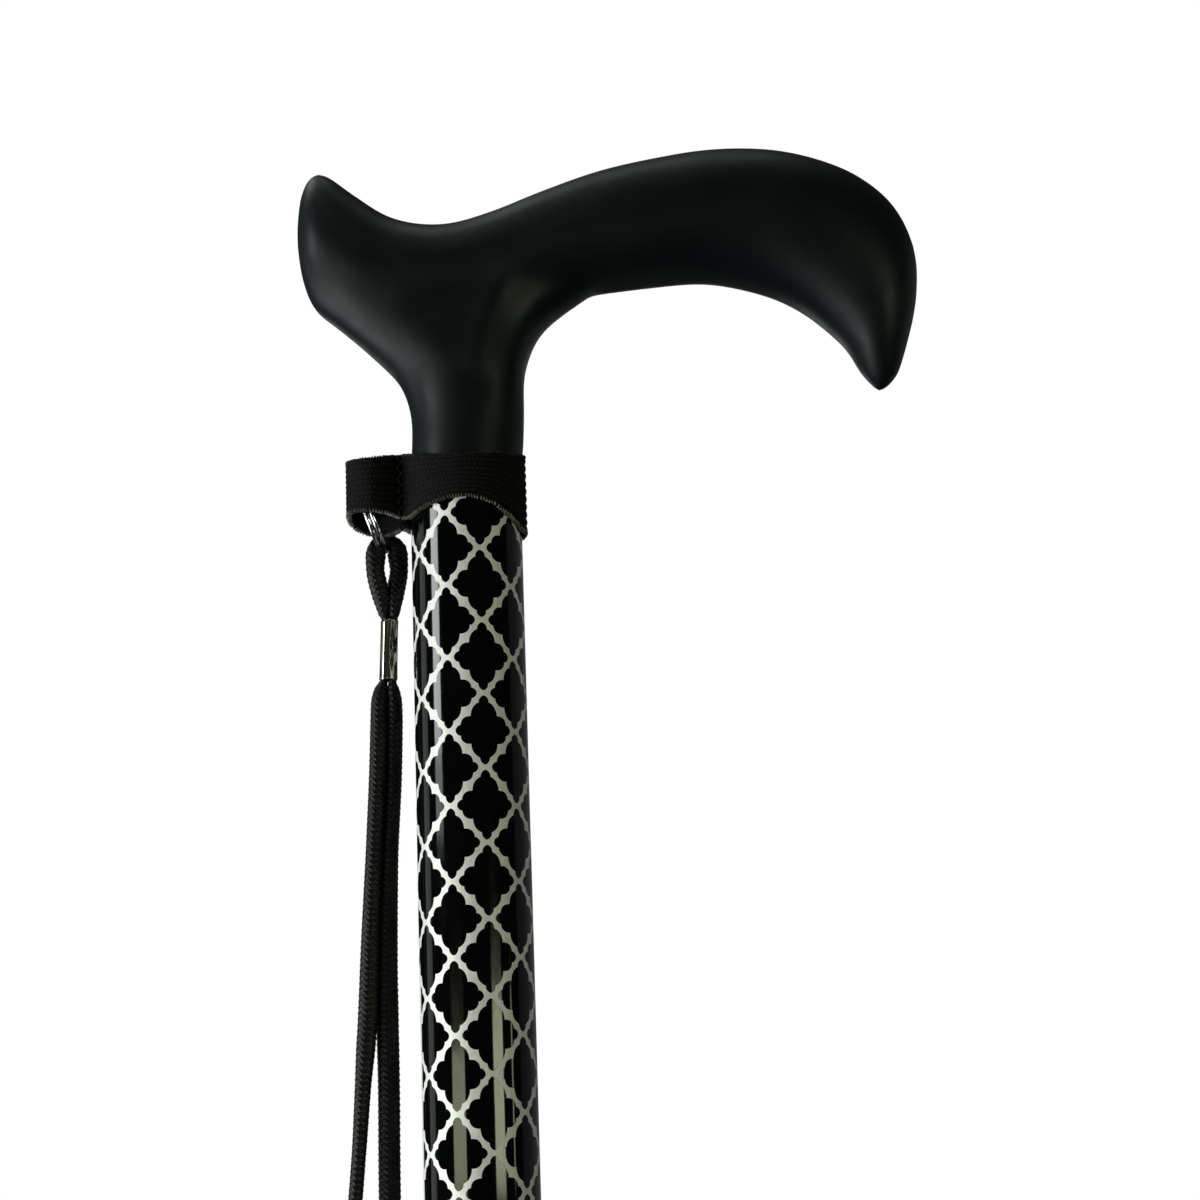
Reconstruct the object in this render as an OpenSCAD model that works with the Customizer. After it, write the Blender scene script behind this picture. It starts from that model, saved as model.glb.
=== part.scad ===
// Height-adjustable single point cane with a derby handle, a patterned upper tube and a wrist cord.
// Millimetres, +Z up. The origin is the centre of the rubber tip's floor face and the shaft is the Z axis.
// The handle's nose and the wrist cord are on the -X side, and the handle's beak is on the +X side.

/* [Shaft] */
// Height of the joint between handle and upper tube above the floor, at the middle setting
joint_z = 794; // [770:1:820]
// Outer diameter of the upper tube
tube_od = 22.2; // [21.8:0.1:22.8]
// Wall of both tubes
tube_wall = 1.2; // [1:0.1:1.3]
// Length of the upper tube
upper_len = 544; // [530:1:556]
// Radial gap between the upper tube's bore and the lower tube
slide_gap = 0.375; // [0.3:0.025:0.45]
// Top of the lower tube above the floor
lower_top = 400; // [396:1:420]

/* [Height setting] */
// Distance between two height settings
hole_pitch = 25.4; // [20:0.1:26]
// Number of height settings
hole_count = 7; // [3:2:7]
// Diameter of the snap button
button_d = 7.4; // [6:0.1:8]
// Travel of the snap button
button_travel = 4.2; // [4:0.1:4.4]

/* [Collar] */
// Outer diameter of the lock nut
nut_od = 28.6; // [28:0.2:32]
// Number of grip flutes round the lock nut
nut_flutes = 24; // [12:2:30]

/* [Handle] */
// Stretch of the handle from nose to beak, 1 being a 127 mm handle
handle_reach = 1; // [0.95:0.01:1.1]
// Stretch of the handle's width, 1 being 28 mm at the palm
handle_breadth = 1; // [0.95:0.01:1.15]

/* [Rubber tip] */
// Diameter of the rubber tip where it meets the floor
tip_d = 38; // [34:1:44]
// Height of the rubber tip
tip_h = 46; // [42:1:50]

/* [Wrist strap] */
// Height of the elastic band
band_h = 15; // [14:0.5:16]
// Thickness of the elastic band
band_t = 1.1; // [0.8:0.1:1.2]
// Diameter of the split ring at the middle of its wire
ring_d = 16; // [15.6:0.1:16.4]
// Wire diameter of the split ring
ring_wire = 1.2; // [1:0.05:1.3]
// Diameter of the wrist cord
cord_d = 3; // [2.6:0.1:3]

/* [Hidden] */

fit_gap = 0.05;         // radial gap of parts that slide or turn on each other
press_gap = 0.02;       // radial gap of parts that are pressed or glued together

tube_r = tube_od / 2;
bore_r = tube_r - tube_wall;
lower_r = bore_r - slide_gap;
lower_bore_r = lower_r - tube_wall;
collar_z = joint_z - upper_len;

// Handle: each row is [x, height over the joint, half height, half width, lean of the section in degrees]
palm_rows = [
    [-33.3, 53.3, 2, 1.5, 0], [-32.4, 53.5, 8.8, 5.5, 0], [-30.4, 52.6, 13.6, 8, 0],
    [-27.4, 51.2, 15.2, 9.5, 0], [-21.4, 46.4, 15.4, 10.5, 0], [-13.4, 43.8, 13.2, 11, 0],
    [-3.4, 43.8, 11.2, 11.2, 0], [6.6, 46, 11, 11.5, 0], [16.7, 49.6, 11.2, 12, 0],
    [28.7, 52.4, 12.5, 13, 2], [40.7, 54.3, 13.1, 13.5, 4], [50.7, 54.9, 13.8, 14, 6],
    [60.7, 54, 14.7, 14, 10], [68.8, 51.7, 15.2, 13.8, 16], [76, 48, 15.4, 13.2, 24],
    [81.8, 42.6, 14.7, 12, 32], [85.7, 35.5, 12.5, 10.3, 38], [87.2, 28.4, 9.4, 8, 40],
    [87.2, 22.4, 6, 5.4, 43], [86.3, 18.4, 2, 2, 45]];
// Neck: each row is [height over the joint, x of the middle, half length along X, half width along Y]
neck_rows = [
    [0, 0, 11, 11], [12, 0, 11, 11], [17, -0.4, 11.5, 11], [22, -1.2, 12.8, 11.2],
    [27, -2.2, 15.9, 11.3], [32, -3.2, 20.5, 11], [36, -2.6, 24.8, 10.4],
    [39.4, 1, 27.5, 9.5], [42, 2, 24, 8]];
ring_sides = 32;        // points round each handle section

socket_r = 7;           // the neck's socket for the spigot
socket_h = 34;
spigot_h = 40;          // length of the spigot inside the tube
screw_r = 2.5;
screw_bite = 10;        // length of the screw in the handle above the socket
screw_head_r = 4.5;
screw_head_h = 4;
counterbore_h = 6;
washer_h = 1.2;
rivet_r = 1.6;
rivet_drop = 18;        // rivet below the joint

band_r = tube_r + 0.15; // inside of the band
band_top = joint_z + 6;
band_bottom = band_top - band_h;
loop_x = -18.4;         // middle of the small loop that holds the split ring
loop_y = -0.5;
loop_r = 5.85;
loop_back_top = joint_z - 0.1;
stitch_count = 5;

ring_lean = 19.5;       // the split ring leans outwards at its top
ring_foot = [-16.4, 4.9, joint_z - 13.4];
ring_r = ring_d / 2;

eye_top_r = 3.7;
eye_hole_r = 1.6;
eye_h = 13.9;           // from the ring's wire down to the crimp
crimp_h = 12.1;
crimp_r = 1.75;
crimp_bore_r = 1.4;
crimp_top = ring_foot[2] - eye_h;
crimp_foot = crimp_top - crimp_h;

// Route of the wrist cord below the crimp, as [x from the crimp, y from the crimp, drop below the crimp]
cord_route = [
    [-1.6, 0, 0], [-1.8, -0.6, 5], [-2.9, -0.8, 22], [-4.3, -0.8, 42], [-5.2, -0.8, 61], [-6, -0.9, 78],
    [-7.8, -1.2, 98], [-10.3, -1.6, 116], [-13, -1.8, 134], [-15.4, -1.6, 150], [-16.6, -1.2, 163],
    [-16, -0.8, 173], [-13.2, -0.3, 181], [-8.2, 0.3, 184.6], [-3.2, 0.8, 181], [-0.4, 1.1, 173],
    [0.2, 1.2, 163], [-0.3, 1.2, 150], [-1.2, 1.1, 134], [-1.9, 0.9, 116], [-2.2, 0.8, 98], [-1.9, 0.8, 78],
    [-1.3, 0.8, 61], [-0.6, 0.8, 42], [0.4, 0.8, 22], [1.3, 0.6, 5], [1.6, 0, 0]];
cord_sides = 8;
cord_steps = 2;         // rings from one route point to the next

button_z = joint_z - 429;
button_proud = button_travel - (tube_r - lower_r);  // pressed in, it is level with the lower tube
spring_t = 0.6;
spring_w = 7;
spring_x = 7.3;         // outer face of the spring's two pads
rivet_tail_r = 1.2;

nose_r = 11.8;          // threaded nose of the collar bush
nose_h = 14.8;
shoulder_h = 3;
skirt_h = 16;
skirt_r = 12.8;
olive_h = 7;
olive_r = 10.8;
olive_slot = 1.5;
nut_h = 20;
nut_floor = 6;

washer_z = 9;           // floor of the tip's bore
tip_washer_h = 1.5;
tip_top_r = 13;

// One step of a Catmull-Rom curve through four rows
function curve(a, b, c, d, t) =
    0.5 * (2 * b + (c - a) * t + (2 * a - 5 * b + 4 * c - d) * t * t + (3 * b - a - 3 * c + d) * t * t * t);
// The rows with steps - 1 more rows between each two of them
function smooth(rows, steps) =
    [for (i = [0 : len(rows) - 2], k = [0 : steps - 1])
        curve(rows[max(i - 1, 0)], rows[i], rows[i + 1], rows[min(i + 2, len(rows) - 1)], k / steps),
     rows[len(rows) - 1]];
function unit(v) = v / norm(v);

// A closed skin over rings of points, each ring having the same number of points
module skin(rings) {
    n = len(rings[0]);
    m = len(rings);
    points = [for (ring = rings) each ring];
    sides = [for (i = [0 : m - 2], j = [0 : n - 1])
        each [[i * n + j, (i + 1) * n + j, i * n + (j + 1) % n],
              [i * n + (j + 1) % n, (i + 1) * n + j, (i + 1) * n + (j + 1) % n]]];
    first = [for (j = [0 : n - 1]) j];
    last = [for (j = [n - 1 : -1 : 0]) (m - 1) * n + j];
    polyhedron(points, concat([first], sides, [last]), convexity = 6);
}

function palm_ring(row) =
    [for (j = [0 : ring_sides - 1])
        let (a = 360 * j / ring_sides, up = row[2] * cos(a))
        [handle_reach * (row[0] + up * sin(row[4])), -handle_breadth * row[3] * sin(a),
         joint_z + row[1] + up * cos(row[4])]];
function neck_ring(row) =
    [for (j = [0 : ring_sides - 1])
        let (a = 360 * j / ring_sides)
        [row[1] + row[2] * cos(a), row[3] * sin(a), joint_z + row[0]]];

module tube(r, wall, z0, z1) {
    translate([0, 0, z0]) difference() {
        cylinder(r = r, h = z1 - z0, $fn = 96);
        translate([0, 0, -1]) cylinder(r = r - wall, h = z1 - z0 + 2, $fn = 96);
    }
}

// A round hole from the axis outwards through the -X side
module side_hole(z, d) {
    translate([0, 0, z]) rotate([0, -90, 0]) cylinder(d = d, h = tube_r + 2, $fn = 48);
}

module handle() {
    color([0.10, 0.11, 0.12]) difference() {
        union() {
            skin([for (row = smooth(palm_rows, 2)) palm_ring(row)]);
            skin([for (row = smooth(neck_rows, 2)) neck_ring(row)]);
        }
        translate([0, 0, joint_z - 1]) cylinder(r = socket_r, h = socket_h + 1, $fn = 64);
        translate([0, 0, joint_z]) cylinder(r = screw_r + press_gap, h = socket_h + screw_bite + 2, $fn = 32);
    }
}

module neck_spigot() {
    color([0.85, 0.85, 0.82]) difference() {
        union() {
            translate([0, 0, joint_z - spigot_h]) cylinder(r = bore_r - press_gap, h = spigot_h, $fn = 96);
            translate([0, 0, joint_z]) cylinder(r = socket_r - press_gap, h = socket_h - 0.2, $fn = 64);
        }
        translate([0, 0, joint_z - spigot_h - 1]) {
            cylinder(r = screw_r + 0.1, h = spigot_h + socket_h + 2, $fn = 32);
            cylinder(r = screw_head_r + 0.8, h = counterbore_h + 1, $fn = 48);
        }
        rivet_bore(press_gap);
    }
}

module spigot_screw() {
    head_z = joint_z - spigot_h + counterbore_h - washer_h - screw_head_h;
    color([0.75, 0.76, 0.78]) difference() {
        translate([0, 0, head_z]) union() {
            cylinder(r = screw_head_r, h = screw_head_h, $fn = 48);
            cylinder(r = screw_r, h = joint_z + socket_h + screw_bite - head_z, $fn = 32);
        }
        translate([0, 0, head_z - 1]) cylinder(r = 2.3, h = 3.4, $fn = 6);
    }
}

module spigot_washer() {
    color([0.7, 0.7, 0.72]) translate([0, 0, joint_z - spigot_h + counterbore_h - washer_h]) difference() {
        cylinder(r = screw_head_r + 0.5, h = washer_h, $fn = 48);
        translate([0, 0, -1]) cylinder(r = screw_r + 0.15, h = washer_h + 2, $fn = 32);
    }
}

// The rivet's path through the rear wall of the tube and into the spigot
module rivet_bore(gap) {
    translate([0, 4, joint_z - rivet_drop]) rotate([-90, 0, 0])
        cylinder(r = rivet_r + gap, h = tube_r, $fn = 32);
}

module neck_rivet() {
    color([0.2, 0.2, 0.21])
        translate([0, 4.2, joint_z - rivet_drop]) rotate([-90, 0, 0]) rotate_extrude($fn = 48)
        polygon([[0, 0], [rivet_r, 0], [rivet_r, tube_r - 4.2], [3.2, tube_r - 4.2], [3, tube_r - 3.6],
                 [2.2, tube_r - 3.1], [1.1, tube_r - 2.85], [0, tube_r - 2.8]]);
}

module upper_shaft() {
    color([0.05, 0.05, 0.06]) difference() {
        tube(tube_r, tube_wall, collar_z, joint_z);
        for (k = [0 : hole_count - 1])
            side_hole(button_z + (k - (hole_count - 1) / 2) * hole_pitch, button_d + 0.4);
        rivet_bore(press_gap);
    }
}

// Elastic band round the joint, sewn together at the nose side so that it leaves a small loop
module strap_band() {
    color([0.06, 0.06, 0.06]) difference() {
        union() {
            translate([0, 0, band_bottom]) cylinder(r = band_r + band_t, h = band_h, $fn = 96);
            translate([loop_x, loop_y, band_bottom + 0.5]) cylinder(r = loop_r, h = band_h - 0.5, $fn = 64);
            translate([loop_x + loop_r - 1, loop_y - 1.1, band_bottom + 0.5])
                cube([-band_r - 0.6 - loop_x - loop_r + 1, 2.2, band_h - 1.5]);
        }
        translate([0, 0, band_bottom - 1]) cylinder(r = band_r, h = band_h + 2, $fn = 96);
        translate([loop_x, loop_y, band_bottom - 1])
            cylinder(r = loop_r - band_t + 0.1, h = band_h + 2, $fn = 64);
        translate([loop_x - loop_r - 1, 1, loop_back_top]) cube([loop_r * 2 + 0.2, loop_r + 1, band_h]);
    }
}

// Row of thread stitches down the front of the seam
module band_stitching() {
    pitch = (band_h - 3) / stitch_count;
    color([0.12, 0.12, 0.11]) for (i = [0 : stitch_count - 1])
        translate([-band_r - band_t - 0.35, loop_y - 1.4, band_bottom + 1.4 + i * pitch])
            cylinder(r = 0.25, h = pitch - 0.6, $fn = 16);
}

module split_ring() {
    color([0.8, 0.8, 0.82]) translate(ring_foot) rotate([0, -ring_lean, 0]) translate([0, 0, ring_r])
        rotate([0, 90, 0]) rotate_extrude($fn = 96)
            for (side = [-1, 1]) translate([ring_r, side * (ring_wire / 2 - 0.04)])
                circle(d = ring_wire, $fn = 32);
}

// The cord's short loop over the split ring, with its two ends going down through the crimp
module cord_eye() {
    color([0.07, 0.07, 0.07]) {
        translate(ring_foot) rotate([90, 0, 0]) difference() {
            linear_extrude(height = 2.6, center = true) hull() {
                circle(r = eye_top_r, $fn = 32);
                translate([0, -3]) circle(r = 4.1, $fn = 32);
                translate([0, 1.85 - eye_h]) circle(r = 1.85, $fn = 32);
            }
            linear_extrude(height = 4, center = true) hull() {
                circle(r = eye_hole_r, $fn = 32);
                translate([0.3, -8]) circle(r = 0.4, $fn = 32);
            }
        }
        translate([ring_foot[0], ring_foot[1], crimp_foot])
            cylinder(r = crimp_bore_r - press_gap, h = crimp_h + 0.6, $fn = 32);
    }
}

module cord_crimp() {
    color([0.72, 0.7, 0.66]) translate([ring_foot[0], ring_foot[1], crimp_foot]) difference() {
        cylinder(r = crimp_r, h = crimp_h, $fn = 48);
        translate([0, 0, -1]) cylinder(r = crimp_bore_r, h = crimp_h + 2, $fn = 48);
    }
}

function cord_point(row) = [ring_foot[0] + row[0], ring_foot[1] + row[1], crimp_foot - row[2]];
// The ring of points round path point i, square to the path, level where the cord meets the crimp
function cord_ring(path, i) =
    let (last = len(path) - 1,
         along = i == 0 ? [0, 0, -1] : i == last ? [0, 0, 1] : unit(path[i + 1] - path[i - 1]),
         side = unit(cross([0, 1, 0], along)), over = cross(along, side))
    [for (j = [0 : cord_sides - 1])
        let (a = 360 * (j + 0.5) / cord_sides)
        path[i] + cord_d / 2 * (cos(a) * side + sin(a) * over)];

module wrist_cord() {
    path = smooth([for (row = cord_route) cord_point(row)], cord_steps);
    color([0.07, 0.07, 0.07]) skin([for (i = [0 : len(path) - 1]) cord_ring(path, i)]);
}

// Bush glued over the upper tube's lower end, with a threaded nose for the lock nut
module collar_bush() {
    nose_z = collar_z - shoulder_h - nose_h;
    color([0.09, 0.09, 0.1]) difference() {
        union() {
            translate([0, 0, collar_z - shoulder_h])
                cylinder(r = skirt_r, h = shoulder_h + skirt_h, $fn = 96);
            translate([0, 0, nose_z]) cylinder(r = nose_r, h = nose_h, $fn = 96);
            for (k = [0 : 4]) translate([0, 0, nose_z + 2 + k * 2]) rotate_extrude($fn = 96)
                polygon([[nose_r - 0.2, -0.5], [nose_r + 0.3, -0.1],
                         [nose_r + 0.3, 0.1], [nose_r - 0.2, 0.5]]);
        }
        translate([0, 0, collar_z]) cylinder(r = tube_r + press_gap, h = skirt_h + 1, $fn = 96);
        translate([0, 0, nose_z - 1]) cylinder(r = lower_r + 0.1, h = nose_h + shoulder_h + 2, $fn = 96);
        translate([0, 0, nose_z - 1]) cylinder(r = olive_r + fit_gap, h = olive_h + 1.3, $fn = 96);
    }
}

// Split ring that the lock nut squeezes onto the lower tube
module clamp_olive() {
    z0 = collar_z - shoulder_h - nose_h;
    color([0.8, 0.8, 0.78]) difference() {
        translate([0, 0, z0]) rotate_extrude($fn = 96)
            polygon([[lower_r + fit_gap, 0], [olive_r - 0.6, 0], [olive_r, 1.6], [olive_r, olive_h],
                     [lower_r + fit_gap, olive_h]]);
        translate([0, -olive_slot / 2, z0 - 1]) cube([olive_r + 1, olive_slot, olive_h + 2]);
    }
}

module lock_nut() {
    z0 = collar_z - shoulder_h - nose_h - nut_floor - 0.1;
    nut_r = nut_od / 2;
    color([0.08, 0.08, 0.09]) difference() {
        translate([0, 0, z0]) rotate_extrude($fn = 96)
            polygon([[lower_r + 0.3, 0], [nut_r - 2.6, 0], [nut_r - 0.6, 1.6], [nut_r, 3.4],
                     [nut_r, nut_h - 1], [nut_r - 1, nut_h], [nose_r + 0.45, nut_h],
                     [nose_r + 0.45, nut_floor],
                     [lower_r + 0.3, nut_floor]]);
        for (k = [0 : nut_flutes - 1]) rotate([0, 0, k * 360 / nut_flutes])
            translate([nut_r + 0.35, 0, z0 + 3.4]) cylinder(r = 0.9, h = nut_h - 5.4, $fn = 24);
    }
}

module lower_shaft() {
    color([0.07, 0.07, 0.08]) difference() {
        tube(lower_r, tube_wall, washer_z + tip_washer_h, lower_top);
        side_hole(button_z, button_d + 0.2);
    }
}

// Plastic cap in the lower tube's top end that guides it in the upper tube's bore
module guide_cap() {
    color([0.85, 0.85, 0.82]) difference() {
        union() {
            translate([0, 0, lower_top - 12]) cylinder(r = lower_bore_r - press_gap, h = 12, $fn = 96);
            translate([0, 0, lower_top]) cylinder(r = bore_r - fit_gap, h = 4, $fn = 96);
        }
        translate([0, 0, lower_top - 13]) cylinder(r = 4, h = 18, $fn = 48);
    }
}

// V-shaped leaf spring: one pad carries the button, the other bears on the far wall
module button_spring() {
    t = spring_t;
    x = spring_x;
    color([0.7, 0.7, 0.72]) translate([0, 0, button_z]) difference() {
        rotate([90, 0, 0]) linear_extrude(height = spring_w, center = true)
            polygon([[-x, 9], [-x, -9], [-2, -38], [0, -40], [2, -38], [x, -9], [x, 9],
                     [x - t, 9], [x - t, -9], [2 - t, -37.6], [0, -40 + t * 1.4], [t - 2, -37.6],
                     [t - x, -9], [t - x, 9]]);
        rotate([0, -90, 0]) cylinder(r = rivet_tail_r + fit_gap, h = 2 * x, $fn = 32);
    }
}

module snap_button() {
    r = button_d / 2;
    head = tube_r + button_proud - spring_x;
    color([0.85, 0.85, 0.87]) translate([-spring_x, 0, button_z]) rotate([0, -90, 0]) rotate_extrude($fn = 64)
        polygon([[0, -spring_t - 0.6], [1.9, -spring_t - 0.6], [1.9, -spring_t], [rivet_tail_r, -spring_t],
                 [rivet_tail_r, 0], [r - 0.4, 0], [r, 0.2], [r, head - 1.6], [r - 0.25, head - 0.95],
                 [r - 0.9, head - 0.4], [r - 1.9, head - 0.08], [0, head]]);
}

module tip_washer() {
    color([0.7, 0.7, 0.72]) translate([0, 0, washer_z]) difference() {
        cylinder(r = lower_r - 0.1, h = tip_washer_h, $fn = 96);
        translate([0, 0, -1]) cylinder(r = 4, h = tip_washer_h + 2, $fn = 48);
    }
}

module rubber_tip() {
    r = tip_d / 2;
    color([0.08, 0.08, 0.08]) difference() {
        rotate_extrude($fn = 96)
            polygon([[0, 0], [r - 0.6, 0], [r, 1], [r, 4.5], [r - 1, 6.5], [r - 3.2, 8.6], [r - 4.4, 11],
                     [r - 4.6, 13.5], [r - 3.6, 14.5], [r - 3.6, 16.5], [r - 4.8, 17.8],
                     [tip_top_r + 0.6, 24],
                     [tip_top_r + 0.2, 34], [tip_top_r, tip_h - 6], [tip_top_r + 0.9, tip_h - 5],
                     [tip_top_r + 0.9, tip_h - 1.2], [tip_top_r - 0.1, tip_h], [0, tip_h]]);
        translate([0, 0, washer_z]) cylinder(r = lower_r, h = tip_h, $fn = 96);
        for (g = [5.5, 9.5, 13.5]) translate([0, 0, -1]) difference() {
            cylinder(r = g + 1.6, h = 2.4, $fn = 96);
            translate([0, 0, -1]) cylinder(r = g, h = 5, $fn = 96);
        }
    }
}

handle();
neck_spigot();
spigot_screw();
spigot_washer();
neck_rivet();
upper_shaft();
strap_band();
band_stitching();
split_ring();
cord_eye();
cord_crimp();
wrist_cord();
collar_bush();
clamp_olive();
lock_nut();
lower_shaft();
guide_cap();
button_spring();
snap_button();
tip_washer();
rubber_tip();
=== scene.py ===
import math

import bmesh
import bpy
import numpy as np
from mathutils import Matrix, Vector


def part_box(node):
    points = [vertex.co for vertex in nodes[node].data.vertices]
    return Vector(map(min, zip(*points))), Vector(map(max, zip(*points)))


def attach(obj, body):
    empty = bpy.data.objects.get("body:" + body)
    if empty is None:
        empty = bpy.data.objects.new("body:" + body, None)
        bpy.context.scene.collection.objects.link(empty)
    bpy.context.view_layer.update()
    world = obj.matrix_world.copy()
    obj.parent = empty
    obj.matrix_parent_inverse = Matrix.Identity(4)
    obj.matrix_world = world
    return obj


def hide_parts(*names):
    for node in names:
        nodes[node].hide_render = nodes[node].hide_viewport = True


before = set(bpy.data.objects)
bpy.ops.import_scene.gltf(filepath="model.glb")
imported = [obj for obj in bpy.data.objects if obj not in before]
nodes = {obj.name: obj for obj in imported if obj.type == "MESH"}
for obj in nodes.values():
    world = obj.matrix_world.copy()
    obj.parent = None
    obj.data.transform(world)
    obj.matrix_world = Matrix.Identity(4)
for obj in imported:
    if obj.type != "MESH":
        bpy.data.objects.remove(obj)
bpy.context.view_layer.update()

MM = 0.001
TAU = 2 * math.pi
JOINT_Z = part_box("upper_shaft")[1].z / MM
TUBE_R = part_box("upper_shaft")[1].x / MM
RING_FOOT = np.array([-16.4, 4.9, JOINT_Z - 13.4])  # where the cord's eye hangs, over the crimp
CRIMP_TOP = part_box("cord_crimp")[1].z / MM + 0.9
CRIMP_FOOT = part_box("cord_crimp")[0].z / MM + 0.8


# ---------------------------------------------------------------- helpers for shapes
def curve(a, b, c, d, t):
    """One step of a Catmull-Rom curve through four rows"""
    return 0.5 * (
        2 * b + (c - a) * t + (2 * a - 5 * b + 4 * c - d) * t * t + (3 * b - a - 3 * c + d) * t**3
    )


def smooth(rows, steps, closed=False):
    """The rows with steps - 1 more rows between each two of them"""
    rows = np.array(rows, float)
    n = len(rows)
    last = n if closed else n - 1

    def row(i):
        return rows[i % n] if closed else rows[min(max(i, 0), n - 1)]

    made = [
        curve(row(i - 1), row(i), row(i + 1), row(i + 2), k / steps)
        for i in range(last)
        for k in range(steps)
    ]
    return np.array(made if closed else made + [rows[-1]])


def lengths(line):
    """Distance along a line of points at each of them"""
    return np.concatenate([[0], np.cumsum(np.linalg.norm(np.diff(line[:, :3], axis=0), axis=1))])


def spaced(line, step):
    """The line with its rows an even distance apart, and that distance along it"""
    along = lengths(line)
    s = np.linspace(0, along[-1], int(round(along[-1] / step)) + 1)
    return np.stack([np.interp(s, along, line[:, k]) for k in range(line.shape[1])], 1), s


def unit(v):
    return v / np.linalg.norm(v, axis=-1, keepdims=True)


def grid_faces(rows, cols, closed_rows=False):
    """Quads over rows of cols points each, every row a closed ring"""
    i = np.arange(rows if closed_rows else rows - 1)[:, None]
    j = np.arange(cols)[None, :]
    i2, j2 = (i + 1) % rows, (j + 1) % cols
    return np.stack([i * cols + j, i2 * cols + j, i2 * cols + j2, i * cols + j2], -1).reshape(-1, 4).tolist()


def capped_faces(rows, cols):
    """The same, with a face over the first row and over the last one"""
    last = (rows - 1) * cols
    return grid_faces(rows, cols) + [list(range(cols)), list(range(last, last + cols))]


def add_mesh(name, points, faces, material):
    """A new mesh object from points in millimetres, with its faces turned outwards"""
    mesh = bpy.data.meshes.new(name)
    mesh.from_pydata((np.asarray(points, float) * MM).tolist(), [], faces)
    shape = bmesh.new()
    shape.from_mesh(mesh)
    bmesh.ops.recalc_face_normals(shape, faces=shape.faces)
    shape.to_mesh(mesh)
    shape.free()
    mesh.shade_smooth()
    mesh.materials.append(material)
    made = bpy.data.objects.new(name, mesh)
    bpy.context.scene.collection.objects.link(made)
    return made


def place(made, body, slot, *stands_for):
    """Puts a piece on its CAD body, in place of the CAD nodes that it stands for; the slot is not used"""
    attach(made, body)
    if stands_for:
        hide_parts(*stands_for)
    return made


def uv_from(made, values):
    """A UV map from one (u, v) pair for each point of the mesh"""
    layer = made.data.uv_layers.new(name="weave")
    index = np.zeros(len(made.data.loops), int)
    made.data.loops.foreach_get("vertex_index", index)
    layer.data.foreach_set("uv", np.asarray(values, np.float32)[index].ravel())


# ---------------------------------------------------------------- materials
class Paint:
    """A procedural material, built node by node"""

    def __init__(self, name, **surface):
        self.material = bpy.data.materials.new(name)
        self.material.use_nodes = True
        self.tree = self.material.node_tree
        self.surface = self.tree.nodes["Principled BSDF"]
        for key, value in surface.items():
            self.set(key.replace("_", " "), value)

    def set(self, key, value):
        """Feeds one input of the surface with a value or another node's output"""
        self.feed(self.surface.inputs[key], value)

    def feed(self, socket, value):
        """Links another node's output to the socket, or gives it a value"""
        if isinstance(value, bpy.types.NodeSocket):
            self.tree.links.new(value, socket)
        elif isinstance(value, (tuple, list)) and len(value) == 3 and socket.type == "RGBA":
            socket.default_value = (*value, 1)
        else:
            socket.default_value = value

    def node(self, kind, *inputs, out=0, **settings):
        """Adds a node with its settings, feeds its inputs and gives one of its outputs"""
        made = self.tree.nodes.new("ShaderNode" + kind)
        for key, value in settings.items():
            setattr(made, key, value)
        for key, value in inputs:
            self.feed(made.inputs[key], value)
        return made.outputs[out]

    def math(self, operation, a, b=0.0):
        return self.node("Math", (0, a), (1, b), operation=operation)

    def place(self):
        return self.node("TexCoord", out="Object")

    def noise(self, scale, detail, roughness=0.5, stretch=(1, 1, 1)):
        where = self.node("Mapping", ("Vector", self.place()), ("Scale", stretch))
        return self.node(
            "TexNoise", ("Vector", where), ("Scale", scale), ("Detail", detail), ("Roughness", roughness)
        )

    def between(self, value, low, high, to_low=0.0, to_high=1.0):
        """A smooth step from to_low to to_high while the value goes from low to high"""
        return self.node(
            "MapRange",
            ("Value", value),
            ("From Min", low),
            ("From Max", high),
            ("To Min", to_low),
            ("To Max", to_high),
            interpolation_type="SMOOTHSTEP",
        )

    def mix(self, share, a, b):
        """Colour a turning into colour b as the share goes from 0 to 1"""
        share_in, a_in, b_in, color_out = 0, 6, 7, 2
        inputs = (share_in, share), (a_in, a), (b_in, b)
        return self.node("Mix", *inputs, out=color_out, data_type="RGBA")

    def bump(self, height, depth, strength):
        """Relief from a height map, with its depth in metres"""
        made = self.node("Bump", ("Height", height), ("Distance", depth), ("Strength", strength))
        self.set("Normal", made)


def grip_paint():
    """Matte, slightly soft handle plastic with a fine skin, faint cloudiness and a few tiny pits"""
    p = Paint("grip", Specular_IOR_Level=0.24, Sheen_Weight=0.02, Sheen_Roughness=0.5)
    cloud = p.noise(35, 3)
    fine = p.noise(2600, 2)
    dark, light = (0.0014, 0.0044, 0.0050), (0.0022, 0.0058, 0.0064)
    p.set("Base Color", p.mix(p.between(cloud, 0.35, 0.7), dark, light))
    p.set("Roughness", p.between(p.noise(120, 3), 0.3, 0.7, 0.40, 0.47))
    speck = p.node("TexVoronoi", ("Vector", p.place()), ("Scale", 330.0), ("Randomness", 1.0), feature="F1")
    near = p.between(speck, 0.05, 0.11, 1, 0)
    rare = p.between(p.noise(160, 1), 0.66, 0.7)
    pits = p.math("MULTIPLY", near, rare)
    height = p.math("SUBTRACT", p.math("MULTIPLY", fine, 0.35), pits)
    p.bump(height, 0.00006, 0.8)
    return p.material


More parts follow.
